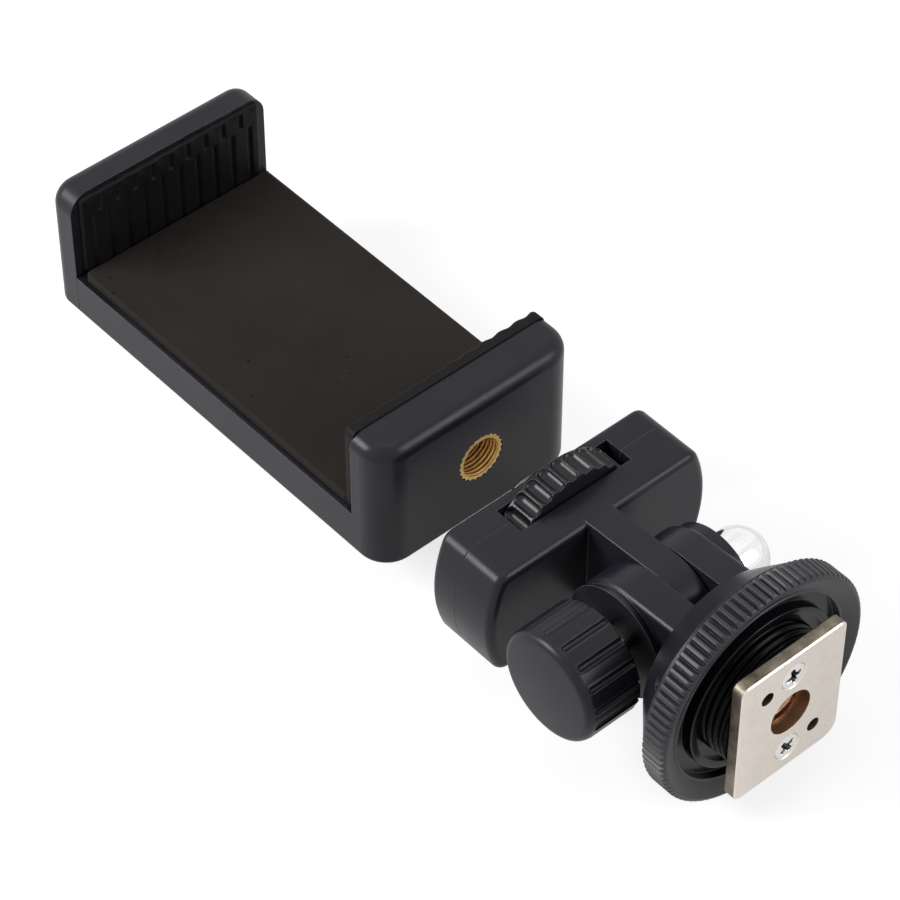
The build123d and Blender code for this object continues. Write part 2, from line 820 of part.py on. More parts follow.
with BuildPart() as shoe_insert:
    disc_x(bush_rear_x, plate_back_x, bush_radius)
    disc_x(bush_rear_x - 1, plate_back_x + 1, thread_radius, mode=Mode.SUBTRACT)

os.makedirs("parts", exist_ok=True)
nodes = {
    "clamp_body": clamp_body,
    "back_plate": back_plate,
    "back_pad": back_pad,
    "fixed_jaw_pad": fixed_jaw_pad,
    "clamp_insert": clamp_insert,
    "cover_screws": cover_screws,
    "clamp_springs": clamp_springs,
    "fixed_spring_pins": fixed_spring_pins,
    "clamp_slider": clamp_slider,
    "sliding_jaw_pad": sliding_jaw_pad,
    "slider_spring_pins": slider_spring_pins,
    "block_front": block_front,
    "block_rear": block_rear,
    "block_screws": block_screws,
    "face_pad": face_pad,
    "thumbwheel": thumbwheel,
    "thumb_screw": thumb_screw,
    "fork_base": fork_base,
    "pivot_bolt": pivot_bolt,
    "nut_washer": nut_washer,
    "dome_nut": dome_nut,
    "knob_washer": knob_washer,
    "knob": knob,
    "knob_insert": knob_insert,
    "lock_ring": lock_ring,
    "shoe_plate": shoe_plate,
    "shoe_screws": shoe_screws,
    "shoe_insert": shoe_insert,
}
for label, node in nodes.items():
    node.part.label = label
    export_step(node.part, f"parts/{label}.step")
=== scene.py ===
import json
import math

import bmesh
import bpy
from mathutils import Matrix, Vector, noise


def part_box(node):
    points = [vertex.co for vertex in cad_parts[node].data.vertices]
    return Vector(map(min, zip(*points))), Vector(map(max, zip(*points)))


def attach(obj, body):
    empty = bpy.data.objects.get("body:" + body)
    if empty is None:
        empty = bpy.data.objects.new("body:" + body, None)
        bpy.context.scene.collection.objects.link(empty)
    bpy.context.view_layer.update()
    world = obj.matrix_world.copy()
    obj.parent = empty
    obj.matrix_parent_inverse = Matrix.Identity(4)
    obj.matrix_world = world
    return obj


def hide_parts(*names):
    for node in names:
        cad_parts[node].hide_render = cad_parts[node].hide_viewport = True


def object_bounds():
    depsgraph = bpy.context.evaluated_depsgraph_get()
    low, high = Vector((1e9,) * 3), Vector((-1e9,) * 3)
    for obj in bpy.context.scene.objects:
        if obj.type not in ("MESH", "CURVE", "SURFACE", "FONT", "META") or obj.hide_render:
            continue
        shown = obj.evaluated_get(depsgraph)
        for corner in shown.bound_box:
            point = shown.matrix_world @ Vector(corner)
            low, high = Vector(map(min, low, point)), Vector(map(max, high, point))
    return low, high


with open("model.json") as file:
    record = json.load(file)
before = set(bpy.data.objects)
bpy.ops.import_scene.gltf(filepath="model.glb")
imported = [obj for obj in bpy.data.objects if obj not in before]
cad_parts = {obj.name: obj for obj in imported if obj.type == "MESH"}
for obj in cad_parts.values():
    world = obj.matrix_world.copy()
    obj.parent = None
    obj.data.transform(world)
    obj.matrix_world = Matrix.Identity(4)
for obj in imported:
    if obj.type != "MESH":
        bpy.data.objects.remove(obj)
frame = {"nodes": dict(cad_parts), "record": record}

cadBox = [list(corner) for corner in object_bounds()]
cadNodes = frame["nodes"]
mm = 0.001


# Camera

cameraSetup = {
    "azimuth": 48.8,            # degrees round the object, 0 looks along +Y
    "elevation": 46.37,         # degrees above the table
    "distance": 501.44 * mm,
    "focalPixels": 3701.0,
    "imagePixels": 900,
    "originRight": 4.18 * mm,   # where the origin stands from the middle of the picture
    "originUp": -0.98 * mm,
    "sensorWidth": 36,
    "clip": (0.01, 20),
}


def makeCamera(setup):
    azimuth, elevation = math.radians(setup["azimuth"]), math.radians(setup["elevation"])
    back = Vector((math.sin(azimuth) * math.cos(elevation),
                   -math.cos(azimuth) * math.cos(elevation),
                   math.sin(elevation)))
    right = Vector((math.cos(azimuth), math.sin(azimuth), 0))
    up = back.cross(right)
    data = bpy.data.cameras.new("camera")
    data.sensor_width = setup["sensorWidth"]
    data.lens = data.sensor_width * setup["focalPixels"] / setup["imagePixels"]
    data.clip_start, data.clip_end = setup["clip"]
    camera = bpy.data.objects.new("camera", data)
    camera.location = (setup["distance"] * back - setup["originRight"] * right
                       - setup["originUp"] * up)
    camera.rotation_mode = "QUATERNION"
    camera.rotation_quaternion = Matrix((right, up, back)).transposed().to_quaternion()
    bpy.context.scene.collection.objects.link(camera)
    bpy.context.scene.camera = camera


makeCamera(cameraSetup)
print("camera placed")


# Node helpers

def feed(tree, socket, value):
    # A socket takes another node's output or a plain value.
    if isinstance(value, bpy.types.NodeSocket):
        tree.links.new(value, socket)
    else:
        socket.default_value = value


def addNode(tree, kind, settings=None, **inputs):
    # An input is given by its name with _ for a space, or by _ and its number.
    node = tree.nodes.new(kind)
    for name, value in (settings or {}).items():
        setattr(node, name, value)
    for name, value in inputs.items():
        key = int(name[1:]) if name[1:].isdigit() else name.replace("_", " ")
        feed(tree, node.inputs[key], value)
    return node


def addMath(tree, operation, *values):
    node = tree.nodes.new("ShaderNodeMath")
    node.operation = operation
    for socket, value in zip(node.inputs, values):
        feed(tree, socket, value)
    return node.outputs[0]


def addVector(tree, operation, first, second, output=0):
    node = addNode(tree, "ShaderNodeVectorMath", {"operation": operation}, _0=first, _1=second)
    return node.outputs[output]


def addNoise(tree, place, scale, detail, roughness):
    return addNode(tree, "ShaderNodeTexNoise", Vector=place, Scale=scale, Detail=detail,
                   Roughness=roughness).outputs[0]


def newGroup(name, kind, inputs, outputs):
    # Each input is (name, socket type, value) and each output (name, socket type).
    group = bpy.data.node_groups.new(name, kind)
    for label, socketType, value in inputs:
        socket = group.interface.new_socket(label, in_out="INPUT", socket_type=socketType)
        if value is not None:
            socket.default_value = value
    for label, socketType in outputs:
        group.interface.new_socket(label, in_out="OUTPUT", socket_type=socketType)
    start = group.nodes.new("NodeGroupInput")
    end = group.nodes.new("NodeGroupOutput")
    return group, start.outputs, end.inputs


# Shader groups

grainDots = {"perPatch": 7.0, "size": 0.09, "share": 0.25}
stainScale = 220.0


def makeMouldGrain(dotLook):
    # Fine grain of a moulded surface: a height for bump, a slow mottle and a few specks.
    group, given, result = newGroup(
        "mouldGrain", "ShaderNodeTree",
        [("Grain", "NodeSocketFloat", 0.12), ("Patch", "NodeSocketFloat", 9.0),
         ("Specks", "NodeSocketFloat", 0.4)],
        [("Height", "NodeSocketFloat"), ("Mottle", "NodeSocketFloat"), ("Speck", "NodeSocketFloat")])
    place = addNode(group, "ShaderNodeTexCoord").outputs["Object"]
    patchScale = addMath(group, "DIVIDE", 1 / mm, given["Patch"])
    fine = addNoise(group, place, addMath(group, "DIVIDE", 1 / mm, given["Grain"]), 3.0, 0.6)
    patch = addNoise(group, place, patchScale, 4.0, 0.62)
    dots = addNode(group, "ShaderNodeTexVoronoi", Vector=place,
                   Scale=addMath(group, "MULTIPLY", patchScale, dotLook["perPatch"]), Randomness=1.0)
    near = addMath(group, "LESS_THAN", dots.outputs["Distance"], dotLook["size"])
    draw = addNode(group, "ShaderNodeSeparateColor", Color=dots.outputs["Color"]).outputs[0]
    share = addMath(group, "MULTIPLY", given["Specks"], dotLook["share"])
    rare = addMath(group, "GREATER_THAN", draw, addMath(group, "SUBTRACT", 1.0, share))
    group.links.new(fine, result["Height"])
    group.links.new(patch, result["Mottle"])
    group.links.new(addMath(group, "MULTIPLY", near, rare), result["Speck"])
    return group


def makeStreaksAndReflections():
    # Fine streaks of a brushed or turned metal, long in one direction; on the chrome, wide ones are painted
    # reflections.
    group, given, result = newGroup(
        "metalStreaksAndReflections", "ShaderNodeTree",
        [("Stretch", "NodeSocketVector", (1.0, 1.0, 12.0)), ("Width", "NodeSocketFloat", 0.12)],
        [("StreakAndReflection", "NodeSocketFloat"), ("Stain", "NodeSocketFloat")])
    place = addNode(group, "ShaderNodeTexCoord").outputs["Object"]
    squeezed = addVector(group, "DIVIDE", place, given["Stretch"])
    streakAndReflection = addNoise(group, squeezed, addMath(group, "DIVIDE", 1 / mm, given["Width"]), 4.0, 0.7)
    group.links.new(streakAndReflection, result["StreakAndReflection"])
    group.links.new(addNoise(group, place, stainScale, 5.0, 0.65), result["Stain"])
    return group


mouldGrain = makeMouldGrain(grainDots)
metalStreaksAndReflections = makeStreaksAndReflections()


# Materials

bevelSamples = 6


def startMaterial(name):
    material = bpy.data.materials.new(name)
    material.use_nodes = True
    tree = material.node_tree
    tree.nodes.clear()
    shader = tree.nodes.new("ShaderNodeBsdfPrincipled")
    output = tree.nodes.new("ShaderNodeOutputMaterial")
    tree.links.new(shader.outputs[0], output.inputs["Surface"])
    return material, tree, shader


def spread(tree, value, low, high, fromLow=0.3, fromHigh=0.7):
    return addNode(tree, "ShaderNodeMapRange", Value=value, From_Min=fromLow, From_Max=fromHigh,
                   To_Min=low, To_Max=high).outputs[0]


def mixColours(tree, factor, first, second):
    return addNode(tree, "ShaderNodeMix", {"data_type": "RGBA"}, _0=factor, _6=first, _7=second).outputs[2]


def makeEdgeGlintMask():
    # 1 where a softened normal leaves the true one, which is along edges; the mask places a painted highlight.
    group, given, result = newGroup(
        "edgeGlintMask", "ShaderNodeTree", [("Width", "NodeSocketFloat", 0.2 * mm)],
        [("Mask", "NodeSocketFloat"), ("Soft Normal", "NodeSocketVector")])
    soft = addNode(group, "ShaderNodeBevel", {"samples": bevelSamples}, Radius=given["Width"]).outputs[0]
    true = addNode(group, "ShaderNodeNewGeometry").outputs["Normal"]
    facing = addVector(group, "DOT_PRODUCT", soft, true, "Value")
    group.links.new(spread(group, facing, 1.0, 0.0, 0.80, 0.985), result["Mask"])
    group.links.new(soft, result["Soft Normal"])
    return group


edgeGlintMask = makeEdgeGlintMask()


def mouldedMaterial(name, look):
    # Plastic, rubber or foam: mottled colour, uneven gloss, a fine grain, softened edges and a painted
    # highlight along the edges.
    material, tree, shader = startMaterial(name)
    grain = addNode(tree, "ShaderNodeGroup", {"node_tree": mouldGrain}, Grain=look["grain"],
                    Patch=look["patch"], Specks=look["specks"])
    base = mixColours(tree, spread(tree, grain.outputs["Mottle"], 0.0, 1.0),
                      (*look["dark"], 1), (*look["light"], 1))
    colour = mixColours(tree, grain.outputs["Speck"], base, (*look["speck"], 1))
    edges = addNode(tree, "ShaderNodeGroup", {"node_tree": edgeGlintMask}, Width=look["edge"] * mm)
    # Painted highlight: edges are mixed towards a lighter colour, as if they caught the light.
    paintedEdgeGlint = addMath(tree, "MULTIPLY", edges.outputs["Mask"], look.get("edgeGlintStrength", 0.0))
    colour = mixColours(tree, paintedEdgeGlint, colour, (*look.get("roundedEdgeGlint", look["speck"]), 1))
    tree.links.new(colour, shader.inputs["Base Color"])
    gloss = spread(tree, grain.outputs["Mottle"], look["smooth"], look["rough"])
    tree.links.new(gloss, shader.inputs["Roughness"])
    bump = addNode(tree, "ShaderNodeBump", Height=grain.outputs["Height"], Strength=look["bump"],
                   Distance=look["depth"] * mm, Normal=edges.outputs["Soft Normal"])
    tree.links.new(bump.outputs[0], shader.inputs["Normal"])
    shader.inputs["Specular IOR Level"].default_value = look["specular"]
    return material


def cutSides(tree, look, stain):
    # Where faces don't face along X, and their colour: sheared edges, and the wall of the middle hole.
    facing = addNode(tree, "ShaderNodeSeparateXYZ",
                     Vector=addNode(tree, "ShaderNodeTexCoord").outputs["Normal"]).outputs[0]
    side = spread(tree, addMath(tree, "ABSOLUTE", facing), 1.0, 0.0, 0.3, 0.6)
    cut = mixColours(tree, spread(tree, stain, 0.0, 1.0, 0.35, 0.65),
                     (*look["cutEdge"], 1), (*look["cutLight"], 1))
    place = addNode(tree, "ShaderNodeTexCoord").outputs["Object"]
    flat = addVector(tree, "MULTIPLY", place, (0.0, 1.0, 1.0))
    fromAxis = addNode(tree, "ShaderNodeVectorMath", {"operation": "LENGTH"}, _0=flat).outputs["Value"]
    inHole = addMath(tree, "LESS_THAN", fromAxis, look["holeRadius"] * mm)
    return side, mixColours(tree, inHole, cut, (*look["holeWall"], 1))


def metalMaterial(name, look):
    # Metal with streaks, a faint stain and softened edges; on the chrome the streaks are painted reflections.
    material, tree, shader = startMaterial(name)
    marks = addNode(tree, "ShaderNodeGroup", {"node_tree": metalStreaksAndReflections},
                    Stretch=look["stretch"], Width=look["width"])
    streakAndReflection, stain = marks.outputs["StreakAndReflection"], marks.outputs["Stain"]
    streakAndReflectionColour = mixColours(tree, spread(tree, streakAndReflection, 0.0, 1.0), (*look["dark"], 1), (*look["light"], 1))
    colour = mixColours(tree, spread(tree, stain, 0.0, look["stain"], 0.5, 0.75),
                        streakAndReflectionColour, (*look["stained"], 1))
    gloss = spread(tree, streakAndReflection, look["smooth"], look["rough"])
    if "cutEdge" in look:
        side, cut = cutSides(tree, look, stain)
        colour = mixColours(tree, side, colour, cut)
        gloss = addNode(tree, "ShaderNodeMix", {"data_type": "FLOAT"},
                        _0=side, _2=gloss, _3=look["cutRough"]).outputs[0]
    tree.links.new(colour, shader.inputs["Base Color"])
    tree.links.new(gloss, shader.inputs["Roughness"])
    roundedEdgeGlint = addNode(tree, "ShaderNodeBevel", {"samples": bevelSamples}, Radius=look["edge"] * mm)
    bump = addNode(tree, "ShaderNodeBump", Height=streakAndReflection, Strength=look["bump"],
                   Distance=look.get("depth", 0.02) * mm, Normal=roundedEdgeGlint.outputs[0])
    tree.links.new(bump.outputs[0], shader.inputs["Normal"])
    shader.inputs["Metallic"].default_value = 1.0
    return material


# The last two entries set the painted highlight along edges: its strength and its colour.
plasticLook = {
    "dark": (0.0118, 0.0112, 0.0165), "light": (0.0160, 0.0152, 0.0220), "speck": (0.035, 0.035, 0.04),
    "smooth": 0.26, "rough": 0.38, "grain": 0.16, "patch": 11.0, "specks": 0.2,
    "bump": 0.4, "depth": 0.014, "specular": 0.25, "edge": 0.17, "edgeGlintStrength": 0.9, "roundedEdgeGlint": (0.13, 0.13, 0.14),
}
# The wheel, knob and ring plastics paint a stronger highlight along their edges.
finishes = {
    "clampPlastic": mouldedMaterial("clampPlastic", plasticLook),
    "adapterPlastic": mouldedMaterial("adapterPlastic", {**plasticLook, "grain": 0.2}),
    "wheelPlastic": mouldedMaterial("wheelPlastic", {
        **plasticLook, "dark": (0.0080, 0.0076, 0.0110), "light": (0.0115, 0.0109, 0.0150), "smooth": 0.22,
        "rough": 0.32, "bump": 0.12, "edge": 0.11, "specular": 0.32, "edgeGlintStrength": 1.0, "roundedEdgeGlint": (0.26, 0.26, 0.27)}),
    "knobPlastic": mouldedMaterial("knobPlastic", {**plasticLook, "grain": 0.2, "edge": 0.13, "edgeGlintStrength": 1.0}),
    "ringPlastic": mouldedMaterial("ringPlastic", {
        **plasticLook, "dark": (0.018, 0.017, 0.0225), "light": (0.026, 0.0248, 0.0315), "grain": 0.2,
        "smooth": 0.32, "rough": 0.44, "edge": 0.1, "specular": 0.42, "edgeGlintStrength": 1.0,
        "roundedEdgeGlint": (0.16, 0.16, 0.17)}),
    # Painted shade: a darker plastic for the inside of the lock ring and for the knob washer in its gap.
    "paintedShadePlastic": mouldedMaterial("paintedShadePlastic", {
        **plasticLook, "dark": (0.0055, 0.0053, 0.0075), "light": (0.0080, 0.0076, 0.0105),
        "smooth": 0.14, "rough": 0.2, "bump": 0.08, "edge": 0.08, "specular": 0.2}),
    "padRubber": mouldedMaterial("padRubber", {
        "dark": (0.0042, 0.0042, 0.0044), "light": (0.0066, 0.0065, 0.0067), "speck": (0.035, 0.035, 0.033),
        "smooth": 0.5, "rough": 0.64, "grain": 0.12, "patch": 5.0, "specks": 0.3,
        "bump": 0.4, "depth": 0.02, "specular": 0.14, "edge": 0.05}),
    "foamSheet": mouldedMaterial("foamSheet", {
        "dark": (0.0150, 0.0125, 0.0112), "light": (0.0315, 0.0265, 0.0235), "speck": (0.007, 0.0055, 0.005),
        "smooth": 0.72, "rough": 0.92, "grain": 0.25, "patch": 20.0, "specks": 0.9,
        "bump": 0.5, "depth": 0.03, "specular": 0.15, "edge": 0.05}),
    "brass": metalMaterial("brass", {
        "dark": (0.66, 0.41, 0.12), "light": (0.96, 0.72, 0.34), "stained": (0.50, 0.28, 0.08), "stain": 0.5,
        "smooth": 0.42, "rough": 0.6, "stretch": (1.0, 6.0, 6.0), "width": 0.2, "bump": 0.35, "edge": 0.05}),
    "bronze": metalMaterial("bronze", {
        "dark": (0.30, 0.16, 0.085), "light": (0.62, 0.40, 0.26), "stained": (0.20, 0.10, 0.05), "stain": 0.5,
        "smooth": 0.2, "rough": 0.36, "stretch": (1.0, 6.0, 6.0), "width": 0.2, "bump": 0.35, "edge": 0.05}),
    "steel": metalMaterial("steel", {
        "dark": (0.52, 0.52, 0.53), "light": (0.74, 0.74, 0.74), "stained": (0.4, 0.39, 0.37), "stain": 0.3,
        "smooth": 0.2, "rough": 0.38, "stretch": (1.0, 1.0, 1.0), "width": 0.3, "bump": 0.2, "edge": 0.06}),
    "darkSteel": metalMaterial("darkSteel", {
        "dark": (0.10, 0.10, 0.105), "light": (0.20, 0.20, 0.205), "stained": (0.08, 0.08, 0.08), "stain": 0.3,
        "smooth": 0.26, "rough": 0.42, "stretch": (1.0, 5.0, 5.0), "width": 0.3, "bump": 0.2, "edge": 0.06}),
    "zincHead": metalMaterial("zincHead", {
        "dark": (0.74, 0.74, 0.73), "light": (0.92, 0.92, 0.91), "stained": (0.52, 0.50, 0.47), "stain": 0.3,
        "smooth": 0.16, "rough": 0.3, "stretch": (1.0, 1.0, 1.0), "width": 0.3, "bump": 0.15, "edge": 0.05}),
    # Painted reflection: wide light and dark streaks along Y stand in for surroundings mirrored in the chrome.
    "chrome": metalMaterial("chrome", {
        "dark": (0.76, 0.76, 0.75), "light": (0.98, 0.98, 0.975), "stained": (0.7, 0.68, 0.65), "stain": 0.2,
        "smooth": 0.06, "rough": 0.12, "stretch": (1.0, 9.0, 1.0), "width": 1.6, "bump": 0.02, "edge": 0.1}),
    "nickel": metalMaterial("nickel", {
        "dark": (0.74, 0.67, 0.60), "light": (0.84, 0.78, 0.71), "stained": (0.64, 0.56, 0.47), "stain": 0.35,
        "smooth": 0.26, "rough": 0.36, "stretch": (1.0, 1.0, 9.0), "width": 0.14, "bump": 0.2, "edge": 0.14,
        "cutEdge": (0.11, 0.092, 0.066), "cutLight": (0.34, 0.295, 0.235),
        "cutRough": 0.46, "holeWall": (0.36, 0.235, 0.145), "holeRadius": 3.7}),
    # Painted shade for the screw recesses and the rims of the heads.
    "screwShade": metalMaterial("screwShade", {
        "dark": (0.06, 0.058, 0.055), "light": (0.15, 0.148, 0.14), "stained": (0.05, 0.05, 0.05), "stain": 0.3,
        "smooth": 0.3, "rough": 0.45, "stretch": (1.0, 1.0, 1.0), "width": 0.3, "bump": 0.15, "edge": 0.05}),
    # Painted shade: a very dark, hardly glossy plastic for the boss thread inside the lock ring, which the
    # plate shades.
    "paintedShadeThreadPlastic": mouldedMaterial("paintedShadeThreadPlastic", {
        **plasticLook, "dark": (0.0040, 0.0039, 0.0052), "light": (0.0060, 0.0058, 0.0076),
        "smooth": 0.16, "rough": 0.24, "bump": 0.05, "edge": 0.05, "specular": 0.07, "edgeGlintStrength": 0.0}),
}
nodeFinish = {
    "clamp_body": "clampPlastic", "back_plate": "clampPlastic", "back_pad": "foamSheet",
    "fixed_jaw_pad": "padRubber", "clamp_insert": "brass", "cover_screws": "steel",
    "clamp_springs": "steel", "fixed_spring_pins": "steel", "clamp_slider": "clampPlastic",
    "sliding_jaw_pad": "padRubber", "slider_spring_pins": "steel",
    "block_front": "adapterPlastic", "block_rear": "adapterPlastic", "block_screws": "steel",
    "face_pad": "padRubber", "thumbwheel": "wheelPlastic", "thumb_screw": "darkSteel",
    "fork_base": "adapterPlastic", "pivot_bolt": "steel", "nut_washer": "steel", "dome_nut": "chrome",
    # The knob washer takes painted shade, as dark as the gap it sits in.
    "knob_washer": "paintedShadePlastic", "knob": "knobPlastic", "knob_insert": "brass",
    "lock_ring": "ringPlastic", "shoe_plate": "nickel", "shoe_screws": "zincHead", "shoe_insert": "bronze",
}


def paint(target, finish):
    target.data.materials.clear()
    target.data.materials.append(finishes[finish])


for label, finish in nodeFinish.items():
    paint(cadNodes[label], finish)
print("materials made")


# Mesh helpers

mergeGap = 0.002                # mm
plainAngle = 32                 # degrees from which an edge stays sharp


def bodyOf(node):
    groups = frame["record"]["behaviour"]["bodies"]
    return next(body for body, nodes in groups.items() if node in nodes)


def meshPiece(name, points, faces, sharpAngle=plainAngle):
    # A closed mesh from points in millimetres: seams merged, normals outwards, smooth up to an angle.
    work = bmesh.new()
    corners = [work.verts.new(Vector(point) * mm) for point in points]
    for face in faces:
        if len(set(face)) > 2:
            work.faces.new([corners[index] for index in dict.fromkeys(face)])
    return meshFromWork(name, work, sharpAngle)


def meshFromWork(name, work, sharpAngle=plainAngle):
    bmesh.ops.remove_doubles(work, verts=work.verts, dist=mergeGap * mm)
    bmesh.ops.dissolve_degenerate(work, edges=work.edges, dist=0.0005 * mm)
    bmesh.ops.recalc_face_normals(work, faces=work.faces)
    mesh = bpy.data.meshes.new(name)
    work.to_mesh(mesh)
    work.free()
    mesh.polygons.foreach_set("use_smooth", [True] * len(mesh.polygons))
    mesh.set_sharp_from_angle(angle=math.radians(sharpAngle))
    piece = bpy.data.objects.new(name, mesh)
    bpy.context.scene.collection.objects.link(piece)
    return piece


def openEdges(piece):
    work = bmesh.new()
    work.from_mesh(piece.data)
    count = sum(edge.is_boundary for edge in work.edges)
    work.free()
    return count


def keepShading(piece, node):
    # Faces taken over from a CAD node keep its smooth shading; new faces keep their own.
    def corners(mesh):
        # Each face corner's number, and its place and face direction as a key.
        for polygon in mesh.polygons:
            facing = tuple(round(part * 50) for part in polygon.normal)
            for loop in polygon.loop_indices:
                place = mesh.vertices[mesh.loops[loop].vertex_index].co
                yield loop, (tuple(round(part * 2e5) for part in place), facing)

    source, mesh = cadNodes[node].data, piece.data
    known = {key: source.corner_normals[loop].vector.copy() for loop, key in corners(source)}
    shading = [corner.vector.copy() for corner in mesh.corner_normals]
    for loop, key in corners(mesh):
        shading[loop] = known.get(key, shading[loop])
    mesh.normals_split_custom_set(shading)


def paintShadeInside(piece, finish, radius, start):
    # A darker second finish for the faces within a radius of the screw axis, past a place along it: painted
    # shade inside a recess.
    piece.data.materials.append(finishes[finish])
    for polygon in piece.data.polygons:
        x, y, z = polygon.center / mm
        if math.hypot(y, z) < radius and x > start:
            polygon.material_index = 1


def standFor(piece, finish, *nodes):
    # The piece takes the given finish and the body of the first node that it replaces; the replaced nodes are
    # hidden.
    paint(piece, finish)
    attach(piece, bodyOf(nodes[0]))
    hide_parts(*nodes)
    return piece


def boxInMm(node):
    low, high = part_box(node)
    return low / mm, high / mm


def roundOver(edge, radius):
    # How far a rounded rim lies under its face, at a distance from the outline.
    if edge >= radius:
        return 0.0
    return radius - math.sqrt(max(radius ** 2 - (radius - edge) ** 2, 0.0))


def smoothStep(value, low, high):
    share = min(max((value - low) / (high - low), 0.0), 1.0)
    return share * share * (3 - 2 * share)


def gridLines(half, step, rim):
    # Even lines across a width, closer together within the rim at both ends.
    fine = [half - rim * (1 - math.cos(math.pi * i / 12)) for i in range(7)]
    inner = half - rim
    count = max(2, round(2 * inner / step))
    even = [-inner + 2 * inner * i / count for i in range(count + 1)]
    return sorted(set([-value for value in fine] + even + fine))


def intoOutline(u, v, halfU, halfV, corner):
    # A grid point pulled inside the rounded corners, and its distance from the outline.
    du, dv = abs(u) - halfU + corner, abs(v) - halfV + corner
    if du <= 0 or dv <= 0:
        return u, v, max(min(halfU - abs(u), halfV - abs(v)), 0.0)
    pull = max(du, dv) / math.hypot(du, dv)
    return (math.copysign(halfU - corner + du * pull, u), math.copysign(halfV - corner + dv * pull, v),
            max(corner - math.hypot(du * pull, dv * pull), 0.0))


def slabPiece(name, halfU, halfV, corner, rim, step, back, height, place):
    # A slab with a rounded outline: height(u, v, edge) shapes its face, place(u, v, w) puts a point.
    linesU, linesV = gridLines(halfU, step[0], rim), gridLines(halfV, step[1], rim)
    points, faces = [], []
    for v in linesV:
        for u in linesU:
            nearU, nearV, edge = intoOutline(u, v, halfU, halfV, corner)
            points.append(place(nearU, nearV, height(nearU, nearV, edge)))
    wide, tall = len(linesU), len(linesV)
    for j in range(tall - 1):
        for i in range(wide - 1):
            first = j * wide + i
            faces.append((first, first + 1, first + wide + 1, first + wide))
    rimPath = ([i for i in range(wide)] + [j * wide + wide - 1 for j in range(1, tall)]
               + [(tall - 1) * wide + i for i in range(wide - 2, -1, -1)]
               + [j * wide for j in range(tall - 2, 0, -1)])
    start = len(points)
    for index in rimPath:
        u, v, edge = intoOutline(linesU[index % wide], linesV[index // wide], halfU, halfV, corner)
        points.append(place(u, v, back))
    points.append(place(0, 0, back))
    count = len(rimPath)
    for k in range(count):
        after = (k + 1) % count
        faces.append((rimPath[k], rimPath[after], start + after, start + k))
        faces.append((start + k, start + after, start + count))
    return meshPiece(name, points, faces)


def spun(section, turn):
    # A section of (x, radius) points, turned about the X axis.
    return [(x, radius * math.cos(turn), radius * math.sin(turn)) for x, radius in section]


def stripFaces(cuts, count, around=None):
    # Quads between neighbouring closed sections, round the whole axis where around is their number.
    faces = []
    for cut in range(cuts):
        here, there = cut * count, ((cut + 1) % (around or cuts + 1)) * count
        for k in range(count):
            after = (k + 1) % count
            faces.append((here + k, here + after, there + after, there + k))
    return faces


# Phone rest: a thin foam sheet, a little uneven

backPad = {"edge": 0.35, "corner": 0.8, "step": 0.6, "wave": 0.035, "waveLength": 9.0, "flatRim": 1.5}


def makeBackPad(look):
    low, high = boxInMm("back_pad")
    middle = (low + high) / 2

    def height(u, v, edge):
        place = Vector((u, v, 0)) / look["waveLength"]
        wave = look["wave"] * (noise.noise(place) - 1) * smoothStep(edge, 0, look["flatRim"])
        return high.z + wave - roundOver(edge, look["edge"])

    return slabPiece("phoneRestPad", (high.x - low.x) / 2, (high.y - low.y) / 2, look["corner"],
                     look["edge"], (look["step"], look["step"]), low.z, height,
                     lambda u, v, w: (middle.x + u, middle.y + v, w))


standFor(makeBackPad(backPad), "foamSheet", "back_pad")


# Rubber pads of the jaws

nearPad = {"rim": 0.5, "corner": 1.0, "thickness": 1.9, "pitch": 3.0, "count": 11, "depth": 0.24,
           "halfWidth": 1.25, "step": (0.16, 0.5)}
farPad = {"rim": 0.55, "corner": 1.0, "thickness": 1.2, "pitch": 3.2, "count": 10, "depth": 0.38,
          "halfWidth": 0.52, "step": (0.13, 0.22), "rowDrop": 0.45, "rowHeight": 2.95, "rowGap": 0.2,
          "rowSlope": 0.25, "lump": 0.16, "lumpFrom": 1.6, "lumpTo": 0.5}
grooveRound = 1.5               # higher is narrower at the bottom


def grooveShare(y, look, count):
    # 1 in the middle of the nearest groove of a row, 0 beside it.
    shift = 0.5 if count % 2 == 0 else 0.0
    limit = (count - 1) / 2
    nearest = min(max(round(y / look["pitch"] - shift) + shift, -limit), limit)
    away = abs(y - nearest * look["pitch"]) / look["halfWidth"]
    return math.cos(away * math.pi / 2) ** grooveRound if away < 1 else 0.0


def jawPadPiece(name, look, low, high, back, height):
    middle = (low.z + high.z) / 2
    return slabPiece(name, (high.y - low.y) / 2, (high.z - low.z) / 2, look["corner"], look["rim"],
                     look["step"], back, lambda u, v, edge: height(u, middle + v, edge),
                     lambda u, v, w: (w, u, middle + v))


def makeNearPad(look):
    low, high = boxInMm("fixed_jaw_pad")

    def height(y, z, edge):
        return low.x + look["depth"] * grooveShare(y, look, look["count"]) + roundOver(edge, look["rim"])

    return jawPadPiece("nearJawPad", look, low, high, low.x + look["thickness"], height)


def makeFarPad(look):
    low, high = boxInMm("sliding_jaw_pad")
    rowTop = high.z - look["rowDrop"]
    rowLow = rowTop - look["rowHeight"]
    longTop = rowLow - look["rowGap"]
    slope = look["rowSlope"]

    def height(y, z, edge):
        long = grooveShare(y, look, look["count"]) * (1 - smoothStep(z, longTop - slope, longTop))
        short = grooveShare(y, look, look["count"] - 1)
        short *= smoothStep(z, rowLow, rowLow + slope) * (1 - smoothStep(z, rowTop - slope, rowTop))
        lump = look["lump"] * smoothStep(z, high.z - look["lumpFrom"], high.z - look["lumpTo"])
        lump *= 0.5 - 0.5 * math.cos(2 * math.pi * y / look["pitch"])
        return high.x - look["depth"] * max(long, short) - lump - roundOver(edge, look["rim"])

    return jawPadPiece("farJawPad", look, low, high, high.x - look["thickness"], height)


